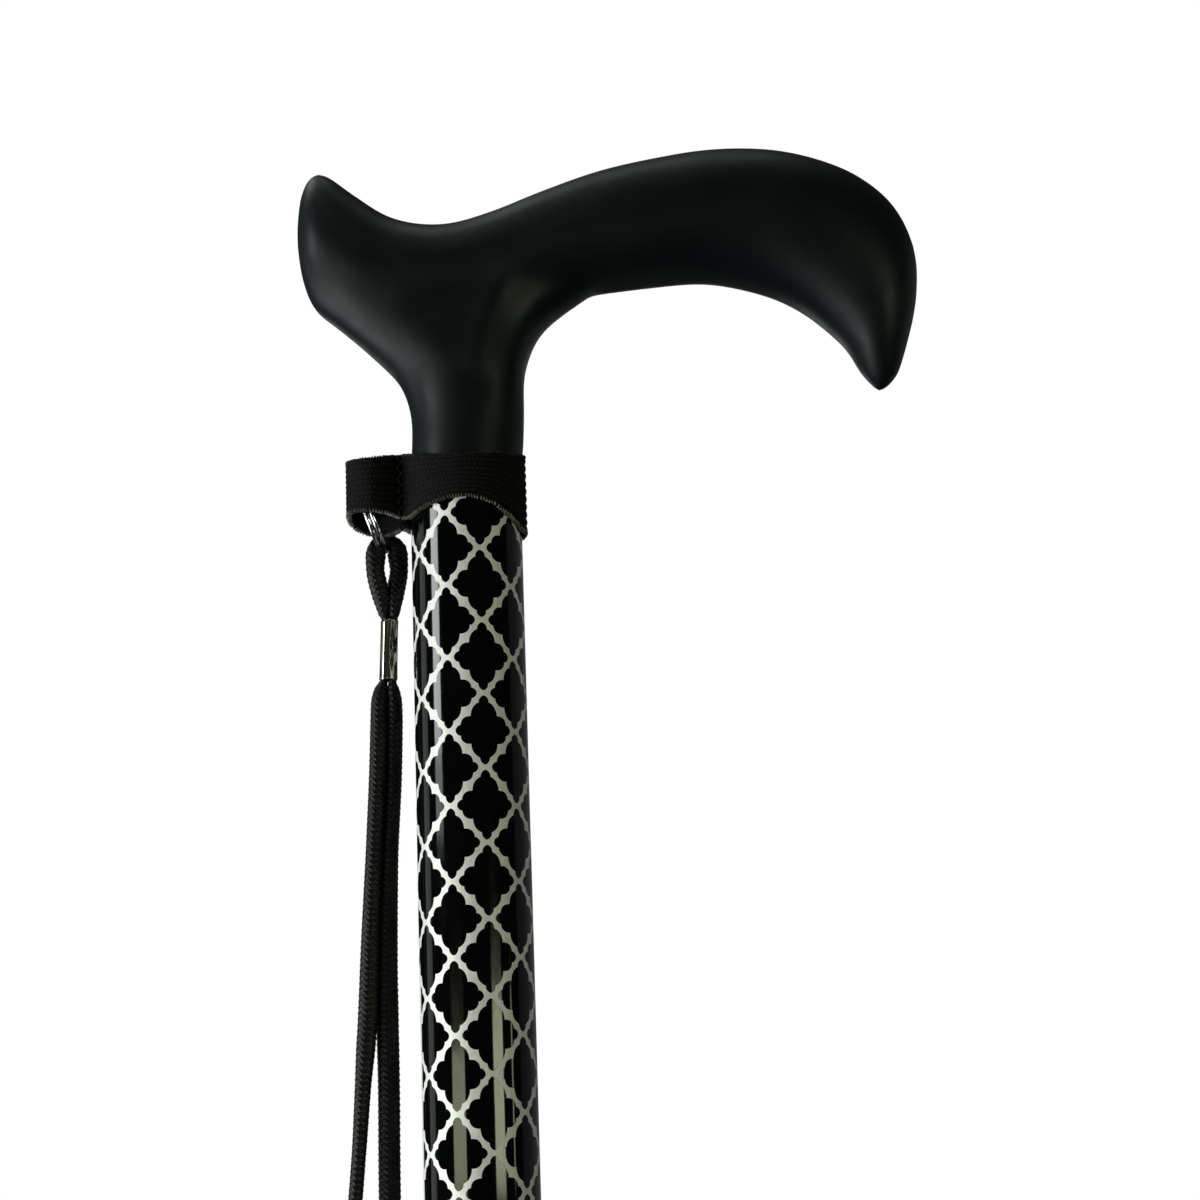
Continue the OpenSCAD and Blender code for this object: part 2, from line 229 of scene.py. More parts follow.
# The lattice's silver line has scalloped edges: round bays between points. The points, as [way from a
# cell's top or bottom tip (0) to its side tip (1), half width in millimetres]
SCALLOP_POINTS = [[0, 0.6], [0.2, 0.6], [0.5, 1.25], [0.76, 0.95], [1, 2.1]]
BAY_DEPTHS = [0.45, 0.5, 0.6, 0.7]  # how far each bay cuts in between its two points
BAY_STEPS = 5  # points of the curve in each bay
SCALLOP_RANGE = 2.5  # half width that fills the curve's height


def scallops():
    """The silver line's outline, as [way, half width, whether the outline has a corner there]"""
    rows = []
    for (x0, y0), (x1, y1), depth in zip(SCALLOP_POINTS, SCALLOP_POINTS[1:], BAY_DEPTHS):
        for k in range(BAY_STEPS):
            u = k / BAY_STEPS
            y = y0 + (y1 - y0) * u - 4 * depth * u * (1 - u)
            rows.append([x0 + (x1 - x0) * u, y, k == 0 and x0 > 0])
    return rows + [[*SCALLOP_POINTS[-1], False]]


def lattice_paint():
    """Gloss black tube with a printed lattice of scalloped silver lines, five cells round"""
    cells_round = 5
    cell_h = 0.01443
    edge_mm = 10.03  # a cell's side, from tip to tip
    first_crossing = math.radians(-55.7)
    crossing_z = 0.7784
    p = Paint("lattice")
    xyz = p.node("SeparateXYZ", ("Vector", p.place()))
    axes = xyz.node.outputs
    turn = p.math("ARCTAN2", axes["X"], p.math("MULTIPLY", axes["Y"], -1.0))
    across = p.math("MULTIPLY", p.math("SUBTRACT", turn, first_crossing), cells_round / TAU)
    up = p.math("DIVIDE", p.math("SUBTRACT", axes["Z"], crossing_z), cell_h)
    above_zero = 200.0  # whole cells, so that every cell has its share from 0 to 1
    rise = p.math("FRACT", p.math("ADD", p.math("ADD", across, up), above_zero))
    fall = p.math("FRACT", p.math("ADD", p.math("SUBTRACT", across, up), above_zero))

    def outline(t):
        """Half width of the silver line, as a share of a cell's edge"""
        made = p.tree.nodes.new("ShaderNodeFloatCurve")
        p.feed(made.inputs["Value"], t)
        line = made.mapping.curves[0]
        for i, (x, y, corner) in enumerate(scallops()):
            point = line.points[i] if i < 2 else line.points.new(x, y)
            point.location = (x, y / SCALLOP_RANGE)
            point.handle_type = "VECTOR" if corner else "AUTO"
        made.mapping.update()
        return p.math("MULTIPLY", made.outputs[0], SCALLOP_RANGE / edge_mm)

    def gap(distance, t):
        return p.math("SUBTRACT", distance, outline(t))

    def left(value):
        return p.math("SUBTRACT", 1.0, value)

    inside = p.math(
        "MINIMUM",
        p.math("MINIMUM", gap(rise, left(fall)), gap(left(rise), fall)),
        p.math("MINIMUM", gap(fall, left(rise)), gap(left(fall), rise)),
    )
    silver = p.between(inside, -0.002, 0.002, 1, 0)
    r_squared = p.math("ADD", p.math("POWER", axes["X"], 2.0), p.math("POWER", axes["Y"], 2.0))
    bare_r, printed_r = 0.0104, 0.0106
    skin = p.between(r_squared, bare_r**2, printed_r**2)  # 0 in the bare bore, 1 on the printed outside
    silver = p.math("MULTIPLY", silver, skin)
    grain = p.noise(900, 3, 0.7, (1, 1, 0.35))
    foil = p.mix(p.between(grain, 0.35, 0.7), (0.88, 0.87, 0.83), (0.99, 0.98, 0.95))
    black = p.mix(p.between(p.noise(60, 3), 0.4, 0.7), (0.0006, 0.0008, 0.0009), (0.0014, 0.0016, 0.0018))
    wall = p.mix(skin, (0.62, 0.62, 0.63), black)
    p.set("Base Color", p.mix(silver, wall, foil))
    p.set("Metallic", p.math("MAXIMUM", p.math("MULTIPLY", silver, 0.55), left(skin)))
    gloss = p.between(grain, 0.3, 0.7, 0.05, 0.09)
    p.set("Roughness", p.math("ADD", p.math("MULTIPLY", silver, 0.58), gloss))
    p.set("Specular IOR Level", p.between(silver, 0, 1, 0.28, 0.5))
    wave = p.noise(420, 2, 0.5, (1, 1, 0.3))
    height = p.math("ADD", p.math("MULTIPLY", silver, 0.3), wave)
    p.bump(height, 0.00003, 0.25)
    return p.material


def plastic_paint(name, dark, light, rough):
    """Moulded plastic with a fine spark-eroded grain and a slightly uneven colour"""
    p = Paint(name, Specular_IOR_Level=0.45)
    p.set("Base Color", p.mix(p.between(p.noise(90, 4), 0.35, 0.7), dark, light))
    p.set("Roughness", p.between(p.noise(300, 3), 0.3, 0.7, rough - 0.06, rough + 0.06))
    p.bump(p.noise(1800, 3, 0.6), 0.00004, 0.6)
    return p.material


def metal_paint(name, color, rough, stretch=(1, 1, 1)):
    """Metal with fine brush marks and patches that are a little duller"""
    p = Paint(name, Metallic=1.0)
    dull = p.noise(150, 3)
    p.set("Base Color", p.mix(p.between(dull, 0.35, 0.75), color, [0.82 * c for c in color]))
    p.set("Roughness", p.between(p.noise(400, 3, 0.6, stretch), 0.3, 0.7, rough * 0.7, rough * 1.4))
    p.bump(p.noise(1500, 3, 0.6, stretch), 0.00001, 0.5)
    return p.material


def anodised_paint():
    """Satin black tube with faint draw lines and a few rubbed streaks"""
    p = Paint("anodised", Specular_IOR_Level=0.5)
    draw = p.noise(2500, 3, 0.6, (1, 1, 0.02))
    rub = p.between(p.noise(240, 4, 0.65, (1, 1, 0.12)), 0.60, 0.72)
    p.set("Base Color", p.mix(rub, (0.012, 0.012, 0.013), (0.05, 0.05, 0.052)))
    p.set("Metallic", p.math("MULTIPLY", rub, 0.5))
    p.set("Roughness", p.between(draw, 0.3, 0.7, 0.26, 0.38))
    p.bump(draw, 0.00001, 0.5)
    return p.material


def rubber_paint():
    """Moulded rubber, matte, with dusty scuffs near the floor"""
    p = Paint("tip_rubber", Specular_IOR_Level=0.35)
    height = p.node("SeparateXYZ", ("Vector", p.place())).node.outputs["Z"]
    low = p.between(height, 0.002, 0.02, 1, 0)
    dust = p.math("MULTIPLY", low, p.between(p.noise(260, 5, 0.7), 0.42, 0.68))
    p.set("Base Color", p.mix(dust, (0.014, 0.014, 0.0142), (0.075, 0.071, 0.064)))
    p.set("Roughness", p.between(p.noise(400, 3), 0.3, 0.7, 0.62, 0.8))
    p.bump(p.noise(1500, 4, 0.65), 0.00007, 0.7)
    return p.material


def woven_paint():
    """Black ribbed elastic: short upright floats along each rib, with a painted brownish highlight on the
    raised floats and painted shade, near black, in the grooves between them
    """
    p = Paint("elastic", Specular_IOR_Level=0.15, Sheen_Weight=0.03, Sheen_Roughness=0.4)
    uv = p.node("UVMap", uv_map="weave")
    axes = p.node("SeparateXYZ", ("Vector", uv)).node.outputs
    u, v = axes["X"], axes["Y"]
    row = p.math("FLOOR", v)
    step = p.math("MULTIPLY", p.math("MODULO", row, 2.0), 0.5)
    tick = p.math("PINGPONG", p.math("ADD", u, step), 0.5)
    bar = p.math("PINGPONG", v, 0.5)
    height = p.math("MULTIPLY", p.between(tick, 0.02, 0.45), p.between(bar, 0.0, 0.3))
    fuzz = p.noise(3500, 3, 0.7)
    # painted light: the colour follows the weave's height, with a painted highlight on the raised floats and
    # painted shade in the grooves
    float_highlight_groove_shade = p.math("MULTIPLY", height, p.between(fuzz, 0.3, 0.7, 0.4, 1.0))
    p.set("Base Color", p.mix(float_highlight_groove_shade, (0.0001, 0.0001, 0.0001), (0.020, 0.0195, 0.0165)))
    p.set("Roughness", 0.75)
    p.bump(p.math("ADD", height, p.math("MULTIPLY", fuzz, 0.3)), 0.00018, 1.0)
    return p.material


def yarn_paint(name, dark, light, rough):
    """Twisted or braided yarn with fine fibres and a soft sheen"""
    p = Paint(name, Specular_IOR_Level=0.3, Sheen_Weight=0.04, Sheen_Roughness=0.35)
    fibre = p.noise(2500, 3, 0.65)
    p.set("Base Color", p.mix(p.between(fibre, 0.35, 0.7), dark, light))
    p.set("Roughness", p.between(fibre, 0.3, 0.7, rough, rough + 0.15))
    p.bump(fibre, 0.00004, 0.7)
    return p.material


GRIP = grip_paint()
LATTICE = lattice_paint()
ELASTIC = woven_paint()
THREAD = yarn_paint("thread", (0.012, 0.0115, 0.011), (0.05, 0.048, 0.043), 0.4)
SEAM_THREAD = yarn_paint("seam_thread", (0.02, 0.0195, 0.018), (0.09, 0.088, 0.08), 0.45)
EDGE_THREAD = yarn_paint("edge_thread", (0.08, 0.078, 0.072), (0.26, 0.255, 0.235), 0.5)
BRAID = yarn_paint("braid", (0.0015, 0.0018, 0.0018), (0.005, 0.006, 0.0056), 0.32)
CHROME = metal_paint("ring_chrome", (0.82, 0.83, 0.84), 0.10)
CRIMP = metal_paint("crimp_metal", (0.62, 0.585, 0.49), 0.16, (1, 1, 0.1))
STEEL = metal_paint("plain_steel", (0.60, 0.61, 0.63), 0.30)
SPRING = metal_paint("spring_steel", (0.42, 0.43, 0.45), 0.28, (1, 1, 0.05))
NICKEL = metal_paint("button_nickel", (0.72, 0.72, 0.74), 0.20)
DARK_STEEL = metal_paint("black_fastener", (0.03, 0.03, 0.032), 0.35)
NYLON = plastic_paint("inner_plastic", (0.70, 0.69, 0.64), (0.78, 0.77, 0.72), 0.45)
COLLAR = plastic_paint("collar_plastic", (0.012, 0.012, 0.0125), (0.020, 0.020, 0.021), 0.42)
ANODISED = anodised_paint()
RUBBER = rubber_paint()


# ---------------------------------------------------------------- camera
def add_camera():
    """The photo's camera: close to the handle, looking a little up and tilted a little"""
    pitch, roll = math.radians(12), math.radians(2.02)
    stand = (0.0262, -0.4671, 0.67)
    forward = Vector((0, math.cos(pitch), math.sin(pitch)))
    level = Vector((1, 0, 0))
    down = forward.cross(level)
    right = level * math.cos(roll) + down * math.sin(roll)
    down = down * math.cos(roll) - level * math.sin(roll)
    camera = bpy.data.objects.new("camera", bpy.data.cameras.new("camera"))
    camera.data.lens = 72
    camera.data.sensor_width = 36
    turn = Matrix((right, -down, -forward)).transposed().to_4x4()
    camera.matrix_world = Matrix.Translation(stand) @ turn
    bpy.context.scene.collection.objects.link(camera)
    bpy.context.scene.camera = camera


add_camera()


# ---------------------------------------------------------------- cords
CARRIERS = 8  # strands each way round the braid
PICK = 1.15  # length of one crossing along the cord
BRAID_SIDES = 44  # points round the cord
BRAID_STEP = 0.2  # distance between two rings of points
BRAID_DEPTH = 0.30  # of the grooves between the strands


def braid(s, turn):
    """Height from 0 to 1 of a one over, one under braid at distance s along the cord and turn round it"""
    a = CARRIERS * turn / TAU + s / PICK
    b = CARRIERS * turn / TAU - s / PICK
    ia, ib = np.floor(a), np.floor(b)
    fa, fb = a - ia - 0.5, b - ib - 0.5
    over = (ia + ib) % 2 == 0
    across, along = np.where(over, fa, fb), np.where(over, fb, fa)
    return np.sqrt(np.clip(1 - (2 * across) ** 2, 0, 1)) * (1 - 0.75 * (2 * along) ** 2)


def braided(name, route, halves, stands_for):
    """A braided cord along a route, with its half sizes as [distance along, side to side, front to back]"""
    line, s = spaced(route, BRAID_STEP)
    along = unit(np.gradient(line, axis=0))
    side = unit(np.cross(np.array([0, 1, 0]), along))
    over = np.cross(along, side)
    turn = np.arange(BRAID_SIDES) * TAU / BRAID_SIDES
    at, half_side, half_over = zip(*halves)
    wide = np.interp(s, at, half_side)[:, None]
    deep = np.interp(s, at, half_over)[:, None]
    lift = BRAID_DEPTH * (braid(s[:, None], turn[None, :]) - 1)
    points = (
        line[:, None]
        + ((wide + lift) * np.cos(turn))[..., None] * side[:, None]
        + ((deep + lift) * np.sin(turn))[..., None] * over[:, None]
    )
    made = add_mesh(name, points.reshape(-1, 3), capped_faces(len(line), BRAID_SIDES), BRAID)
    place(made, "cord", "cord_braid", stands_for)


# From the crimp and back to it, before the loop leans, as [x from the crimp, y from the crimp, drop below
# the crimp]
CORD_ROUTE = [
    [-0.92, 0, -1.5], [-1.05, 0, 0], [-1.65, -0.15, 2], [-2, -0.4, 4.4], [-2.1, -0.6, 9], [-2.4, -0.7, 20],
    [-3.05, -0.8, 34], [-3.85, -0.8, 52], [-4.3, -0.8, 66], [-5.2, -0.9, 79], [-6, -1.1, 92],
    [-7.1, -1.3, 105], [-9.2, -1.6, 120], [-11.9, -1.8, 136], [-14.4, -1.6, 151], [-15.65, -1.2, 163],
    [-15.95, -0.9, 170], [-15.45, -0.6, 177], [-12.95, -0.2, 182.3], [-7.85, 0.3, 184.8],
    [-2.65, 0.8, 182.3], [-0.15, 1.1, 177], [0.55, 1.2, 170], [0.65, 1.2, 162], [0.5, 1.2, 150],
    [0.2, 1.1, 134], [-0.1, 0.9, 118], [-0.3, 0.8, 98], [-0.4, 0.8, 79], [-0.7, 0.8, 64], [-0.65, 0.8, 52],
    [-0.05, 0.8, 34], [0.65, 0.8, 20], [0.9, 0.6, 9], [0.9, 0.4, 4.4], [0.7, 0.15, 2], [0.55, 0, 0],
    [0.52, 0, -1.5],
]
LEAN = 0.0135  # how far the loop leans to -X, as a share of its drop
LEAN_DROP = 108  # drop below which it leans no further
# The braid is a little oval and turns as it hangs, as [distance from the crimp, half side to side,
# half front to back]
NEAR_STRAND = [
    [0, 0.62, 1.1], [1.5, 0.72, 1.25], [3.5, 1.45, 1.6], [5.6, 1.7, 1.7], [9.5, 1.75, 1.7], [22, 1.75, 1.7],
    [36, 1.7, 1.7], [54, 1.85, 1.7], [66, 2.0, 1.6], [74, 1.95, 1.6], [81, 1.65, 1.7], [94, 1.45, 1.9],
    [107, 1.45, 1.9], [130, 1.6, 1.8],
]
FAR_STRAND = [
    [0, 0.62, 1.1], [1.5, 0.72, 1.25], [3.5, 1.4, 1.6], [5.6, 1.65, 1.7], [9.5, 1.75, 1.7], [22, 1.75, 1.7],
    [36, 1.75, 1.7], [54, 2.15, 1.5], [66, 2.3, 1.4], [81, 2.2, 1.35], [107, 2.2, 1.35], [130, 1.9, 1.6],
]
# Up from the crimp, over the split ring and back, as [x from the ring's foot, y, height over the foot]
EYE_ROUTE = [
    [-0.45, 0, -14.4], [-0.48, 0, -13.1], [-0.85, -0.2, -11.4], [-1.25, -0.7, -8.7], [-1.8, -1.3, -6],
    [-2.3, -1.8, -3], [-2.2, -1.6, 0.2], [-2.05, -1.0, 1.7], [-1.5, -0.4, 2.9], [-0.3, 0, 3.4],
    [1.05, 0.2, 2.9], [1.95, 0.2, 1.7], [2.1, 0.2, 0.2], [2.25, 0.2, -3], [1.75, 0.1, -6], [1.35, 0, -8.7],
    [1.15, 0, -11.4], [1.0, 0, -13.1], [0.95, 0, -14.4],
]
EYE_HALF = [
    [0, 0.62, 1.1], [1.3, 0.7, 1.2], [3, 1.25, 1.4], [6, 1.8, 1.5], [9, 1.95, 1.5], [12, 1.9, 1.5],
    [15, 2.15, 1.45], [18, 1.65, 1.5],
]
ROUTE_STEPS = 12  # rows that smooth() makes from each point of a route


def both_ends(first, last, route):
    """Half sizes given from each end of a route, as one list along it"""
    end = lengths(route)[-1]
    return first + [[end - a, b, c] for a, b, c in last[::-1]]


def add_cords():
    """The wrist loop, and the eye that holds it on the split ring"""
    rows = np.array(CORD_ROUTE)
    rows[:, 0] -= LEAN * np.clip(rows[:, 2], 0, LEAN_DROP)
    route = smooth(rows, ROUTE_STEPS) * [1, 1, -1] + [RING_FOOT[0], RING_FOOT[1], CRIMP_FOOT]
    braided("wrist_loop", route, both_ends(NEAR_STRAND, FAR_STRAND, route), "wrist_cord")
    route = smooth(EYE_ROUTE, ROUTE_STEPS) + RING_FOOT
    crown = [[lengths(route)[-1] / 2, 1.6, 1.6]]
    braided("cord_loop_eye", route, both_ends(EYE_HALF + crown, EYE_HALF, route), "cord_eye")


add_cords()


# ---------------------------------------------------------------- crimp and split ring
def hump(angle, middle, width):
    """1 at the middle angle, falling away on both sides of it"""
    off = (angle - middle + math.pi) % TAU - math.pi
    return np.exp(-((off / width) ** 2))


def add_crimp():
    """A short rolled ferrule, pressed in at its middle, with its sheet edges meeting at the side"""
    sides, levels = 72, 48
    radius, wall, pinch, lean = 1.70, 0.32, 0.30, 0.45
    turn = np.arange(sides) * TAU / sides
    t = np.linspace(0, 1, levels)[:, None]
    z = CRIMP_FOOT + t * (CRIMP_TOP - CRIMP_FOOT)
    flare = 0.10 * np.exp(-t / 0.06) + 0.07 * np.exp(-(1 - t) / 0.06) + 0.06 * (1 - t)
    pressed = np.exp(-(((t - 0.45) / 0.24) ** 2))
    front = hump(turn, 0.45 - math.pi / 2, 0.42)
    rear = hump(turn, math.pi / 2 - 0.2, 0.42)
    seam = hump(turn, 0.9, 0.07)
    flats = 0.05 * np.cos(6 * turn + 0.6) + 0.03 * np.cos(10 * turn + 1.9)
    r = radius + flare + flats - pinch * pressed * (front + rear) - 0.12 * seam
    edge = 0.10 * (np.exp(-t / 0.012) + np.exp(-(1 - t) / 0.012))

    def tube(size):
        return np.stack([size * np.cos(turn), size * np.sin(turn), z + 0 * turn], -1)

    points = np.concatenate([tube(r - edge), tube(r - wall)[::-1]])
    points[..., 0] += RING_FOOT[0] + lean * (np.concatenate([t, t[::-1]]) - 0.5)
    points[..., 1] += RING_FOOT[1]
    faces = grid_faces(2 * levels, sides, closed_rows=True)
    made = add_mesh("crimp_ferrule", points.reshape(-1, 3), faces, CRIMP)
    place(made, "cord", "crimp_metal", "cord_crimp")


def wire_along(line, radius, sides, end_shares):
    """Points and faces of a round wire along a line, with rounded ends"""
    off_line = np.array([0.31, 0.23, 0.92])  # nowhere along the wire
    along = unit(np.gradient(line, axis=0))
    side = unit(np.cross(along, off_line))
    over = np.cross(along, side)
    turn = np.arange(sides) * TAU / sides
    size = np.full(len(line), radius)
    for k, share in enumerate(end_shares):
        size[k] = size[-1 - k] = radius * share
    points = line[:, None] + size[:, None, None] * (
        np.cos(turn)[:, None] * side[:, None] + np.sin(turn)[:, None] * over[:, None]
    )
    return points.reshape(-1, 3), capped_faces(len(line), sides)


def add_ring():
    """A split ring: two flat turns of one wire, stepping across beside its two cut ends"""
    radius, wire, half_apart = 7.3, 0.5, 0.56
    gap, step_over, points_along = 6, 36, 360  # degrees, degrees and a count
    lean = math.radians(-19.5)
    first = math.radians(150)
    foot = [-0.8, 0, 1.4]
    a = first + np.radians(np.linspace(gap, 720 - gap, points_along))
    share = np.clip((np.degrees(a - first) - (360 - step_over / 2)) / step_over, 0, 1)
    x = half_apart * (2 * share * share * (3 - 2 * share) - 1)
    flat = np.stack([x, radius * np.sin(a), radius - radius * np.cos(a)], 1)
    c, s = math.cos(lean), math.sin(lean)
    line = flat @ np.array([[c, 0, s], [0, 1, 0], [-s, 0, c]]).T + RING_FOOT + foot
    points, faces = wire_along(line, wire, 20, (0.55, 0.85, 0.97))
    place(add_mesh("ring_wire", points, faces, CHROME), "ring", "ring_chrome", "split_ring")


add_crimp()
add_ring()

# ---------------------------------------------------------------- elastic band
BAND_R = TUBE_R + 0.58  # to the middle of the strip
BAND_T = 0.9  # thickness
BAND_COLUMNS = 560  # columns of points along the strip
RIBS = 10
RIB_DEPTH = 0.2
TICK_DEPTH = 0.2
TICKS = 140  # upright floats along each rib
EDGE_LOOPS = 176  # turns of the overlocked thread along each edge
# Round the shaft, as [degrees from the front, lower edge, upper edge]
BAND_ROUND = [
    [250, 784.9, 798.9], [235, 784.6, 798.6], [210, 784.3, 798.5], [180, 783.8, 798.6], [150, 783.2, 798.9],
    [120, 783.2, 799.2], [90, 783.2, 799.2], [70, 783.3, 798.6], [50, 785.2, 798.1], [40, 786.1, 797.9],
    [30, 787.3, 797.7], [10, 788.4, 797.35], [-10, 788.5, 797.3], [-30, 787.8, 797.8], [-50, 786.8, 798.5],
    [-66, 786.3, 799.3],
]
# The seam and the small loop, as [x, y, lower edge, upper edge]
BAND_LOOP = [
    [-11.9, -2.6, 786.7, 799.9], [-12.6, -1.2, 787, 800.2], [-13.6, -1.5, 787.2, 800],
    [-15.2, -3.9, 787.4, 799.4], [-18.4, -5.6, 787.7, 798.8], [-21.3, -4.5, 788, 798.7],
    [-23.1, -2.4, 788, 798.9], [-23.5, -0.3, 787.6, 798.6], [-23, 1.9, 786.5, 796.2],
    [-21.2, 4, 785.5, 794.9], [-18.6, 4.8, 784.9, 794.9], [-16.2, 3.8, 784.6, 796.4],
    [-14.4, 1.6, 784.6, 798], [-13.4, 0.2, 784.8, 798.8], [-12.6, -0.1, 784.9, 799.1],
    [-11.9, 1.7, 785, 799],
]


def band_frame():
    """The band's middle with its two edges, the way outwards, the distance along it and its whole length"""
    around = [
        [BAND_R * math.sin(math.radians(a)), -BAND_R * math.cos(math.radians(a)), low, high]
        for a, low, high in BAND_ROUND
    ]
    line = smooth(around + BAND_LOOP, 24, closed=True)
    line = np.concatenate([line, line[:1]])
    along = lengths(np.column_stack([line[:, :2], np.zeros(len(line))]))
    s = np.linspace(0, along[-1], BAND_COLUMNS + 1)[:-1]
    even = np.stack([np.interp(s, along, line[:, k]) for k in range(4)], 1)
    ahead = np.roll(even[:, :2], -1, axis=0) - np.roll(even[:, :2], 1, axis=0)
    outwards = unit(np.stack([-ahead[:, 1], ahead[:, 0]], 1))
    return even, outwards, s, along[-1]


def add_band():
    """One strip of ribbed elastic, closed at the seam"""
    even, outwards, s, total = band_frame()
    per_rib = 7
    v = np.linspace(0, 1, RIBS * per_rib + 1)
    rib = np.abs(np.sin(math.pi * v * RIBS)) ** 0.9
    ends = np.minimum(v, 1 - v) * RIBS
    rounding = np.sqrt(np.clip(1 - (1 - np.clip(ends * 1.6, 0, 1)) ** 2, 0, 1))
    brick = math.pi * np.floor(v * RIBS * 0.9999)[None, :]  # half a float further on in each next rib
    tick = 0.5 + 0.5 * np.cos(TAU * s[:, None] / (total / TICKS) + brick)
    ripple = 0.06 * np.sin(s * 0.9) + 0.05 * np.sin(s * 2.3 + 1)
    face = BAND_T / 2 * (0.35 + 0.65 * rounding) - RIB_DEPTH * (1 - rib)
    outer = face[None, :] + TICK_DEPTH * (tick - 0.5) * rib[None, :] * rounding[None, :]
    inner = -face[None, :] + 0 * tick
    height = even[:, 2:3] + (even[:, 3:4] - even[:, 2:3]) * v[None, :]
    height = height + ripple[:, None] * (2 * v - 1)[None, :]

    def wall(offset):
        x = even[:, 0:1] + outwards[:, 0:1] * offset
        y = even[:, 1:2] + outwards[:, 1:2] * offset
        return np.stack([x, y, height], -1)

    profile = np.concatenate([wall(outer), wall(inner)[:, ::-1]], axis=1)
    count, cols = profile.shape[:2]
    faces = grid_faces(count, cols, closed_rows=True)
    made = add_mesh("elastic_band", profile.reshape(-1, 3), faces, ELASTIC)
    u = np.repeat((s / total * (2 * TICKS))[:, None], cols, axis=1)
    ribs_up = np.tile(np.concatenate([v, v[::-1]]) * RIBS, (count, 1))
    uv_from(made, np.stack([u, ribs_up], -1).reshape(-1, 2))
    place(made, "upper", "band_elastic", "strap_band")
    return made, total


def lumps(centres, axes, rings, sides):
    """Points and faces of many small egg shapes, each with its three half axes"""
    lat = np.linspace(0, math.pi, rings + 1)[1:-1]
    lon = np.arange(sides) * TAU / sides
    ball = [[0, 0, -1]]
    ball += [[math.sin(a) * math.cos(b), math.sin(a) * math.sin(b), -math.cos(a)] for a in lat for b in lon]
    ball = np.array(ball + [[0, 0, 1]])
    top = len(ball) - 1
    own = [[0, 1 + (j + 1) % sides, 1 + j] for j in range(sides)]
    for i in range(rings - 2):
        for j in range(sides):
            a, b = 1 + i * sides + j, 1 + i * sides + (j + 1) % sides
            own.append([a, b, b + sides, a + sides])
    own += [[top, top - sides + j, top - sides + (j + 1) % sides] for j in range(sides)]
    points = np.einsum("ij,njk->nik", ball, np.asarray(axes)) + np.asarray(centres)[:, None]
    faces = [[k * len(ball) + q for q in f] for k in range(len(centres)) for f in own]
    return points.reshape(-1, 3), faces


def add_edge_threads(name, edge, shift, half_tall, material):
    """The overlocked thread that wraps one edge of the band, a little above or below it"""
    even, outwards, s, total = band_frame()
    at = (np.arange(EDGE_LOOPS) + 0.5) * (total / EDGE_LOOPS)
    picks = np.clip(np.searchsorted(s, at), 0, len(s) - 1)
    centres, axes = [], []
    for k, i in enumerate(picks):
        along = np.array([outwards[i, 1], -outwards[i, 0], 0])
        out = np.array([*outwards[i], 0])
        z = even[i, edge] + shift + 0.05 * math.sin(1.7 * k)
        centres.append([even[i, 0], even[i, 1], z])
        lean = 0.25 * along * half_tall
        axes.append([along * 0.14, out * 0.62, np.array([0, 0, half_tall]) + lean])
    points, faces = lumps(centres, axes, 6, 8)
    return place(add_mesh(name, points, faces, material), "upper", "stitch_thread")


def add_stitches():
    """The seam that closes the band beside the shaft: slanting lock stitches over a pressed line"""
    count, foot, tall = 11, 787.9, 11.4
    front_x, front_y, back_x, back_y = -13.2, -2.1, -12.95, 0.52
    centres, axes = [], []
    for k in range(count):
        z = foot + k * tall / (count - 1)
        slant = 0.42 if k % 2 else -0.30
        centres.append([front_x + (0.28 if k % 2 else -0.22), front_y, z])
        axes.append([np.array([0.34, -0.05, 0.1]), np.array([0, 0.3, 0]), np.array([slant, 0, 0.72])])
        centres.append([back_x + (0.2 if k % 2 else -0.2), back_y, z])
        axes.append([np.array([0.30, 0.05, 0.1]), np.array([0, 0.22, 0]), np.array([-slant, 0, 0.72])])
    points, faces = lumps(centres, axes, 8, 10)
    made = add_mesh("seam_stitches", points, faces, SEAM_THREAD)
    return place(made, "upper", "stitch_thread", "band_stitching")


band, band_length = add_band()
lower_edge = add_edge_threads("edge_thread_low", 2, 0.22, 0.42, EDGE_THREAD)
upper_edge = add_edge_threads("edge_thread_high", 3, -0.12, 0.34, THREAD)
stitches = add_stitches()

# ---------------------------------------------------------------- handle
# Palm, as [x, height over the joint, half height, half width, lean in degrees]
PALM_ROWS = [
    [-33.3, 53.2, 2.4, 1.7, 0], [-32.4, 53.3, 9.2, 5.7, 0], [-30.4, 52.3, 14.4, 8, 0],
    [-27.4, 51, 15.9, 9.5, 0], [-21.4, 46.5, 15.6, 10.5, 0], [-13.4, 43.6, 13, 11, 0],
    [-3.4, 43.7, 11.1, 11.2, 0], [6.6, 46.2, 10.9, 11.5, 0], [16.7, 49.95, 10.95, 12, 0],
    [28.7, 52.8, 12.2, 13, 2], [40.7, 54.6, 12.9, 13.5, 4], [50.7, 55.2, 13.6, 14, 6],
    [60.7, 54, 14.7, 14, 10], [68.8, 51.7, 15.2, 13.8, 16], [76, 48, 15.4, 13.2, 24],
    [81.8, 42.6, 14.7, 12, 32], [85.6, 35.5, 12.4, 10.3, 38], [86.7, 28.2, 9.7, 8, 40],
    [86.6, 22.4, 6.1, 5.5, 43], [86.4, 17.7, 2.9, 2.6, 45],
]
# Neck, as [height over the joint, x of the middle, half length along X, half width along Y]
NECK_ROWS = [
    [0, 0.05, 11.05, 11], [4, 0.35, 11.3, 11], [12, 0.8, 11.4, 11], [17, 0.5, 11.8, 11],
    [22, -0.5, 12.9, 11.2], [27, -2.2, 15.9, 11.3], [32, -3.6, 20.1, 11], [36, -3, 24.4, 10.4],
    [39.4, 0, 26.5, 9.5], [42, 1, 23, 8],
]
